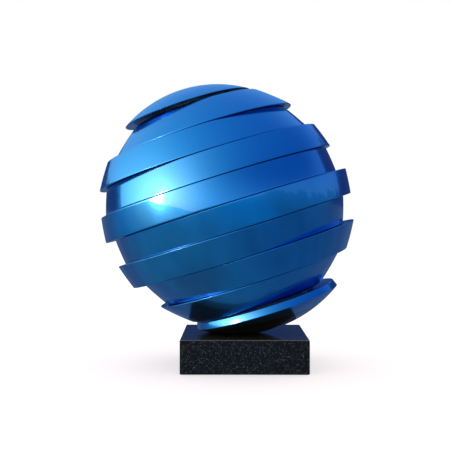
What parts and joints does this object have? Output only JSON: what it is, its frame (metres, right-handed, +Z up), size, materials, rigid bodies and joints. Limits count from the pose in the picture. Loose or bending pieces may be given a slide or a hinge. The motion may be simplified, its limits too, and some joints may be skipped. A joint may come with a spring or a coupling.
{
  "type": "sliced ball trophy",
  "caption": "Trophy of a lacquered ball cut into tilted slices shifted sideways, bolted on a polished granite block.",
  "frame": {"origin": "centre of the rubber pad's underside, under the granite block", "axes": "+Z up, +X to the right seen from the front, -Y towards the front; the slices rise towards +X"},
  "size_m": [0.3111, 0.295, 0.3447],
  "materials": {
    "blue_lacquer": "gloss",
    "black_granite": "polished",
    "zinc_steel": "satin",
    "black_nylon": "matte",
    "black_rubber": "matte"
  },
  "bodies": {
    "root": {"cap_slice": "blue_lacquer", "slice_2": "blue_lacquer", "slice_3": "blue_lacquer", "slice_4": "blue_lacquer", "slice_5": "blue_lacquer", "slice_6": "blue_lacquer", "slice_7": "blue_lacquer", "slice_8": "blue_lacquer", "slice_9": "blue_lacquer", "foot_slice": "blue_lacquer", "cap_spacer": "black_nylon", "foot_spacer": "black_nylon", "tie_rod": "zinc_steel", "tie_washer": "zinc_steel", "tie_nut": "zinc_steel", "guide_rod_front": "zinc_steel", "guide_rod_rear": "zinc_steel", "seat_dowel": "zinc_steel", "base_stud": "zinc_steel", "base_washer": "zinc_steel", "base_nut": "zinc_steel", "seat_gasket": "black_rubber", "granite_block": "black_granite", "base_pad": "black_rubber"}
  },
  "joints": []
}
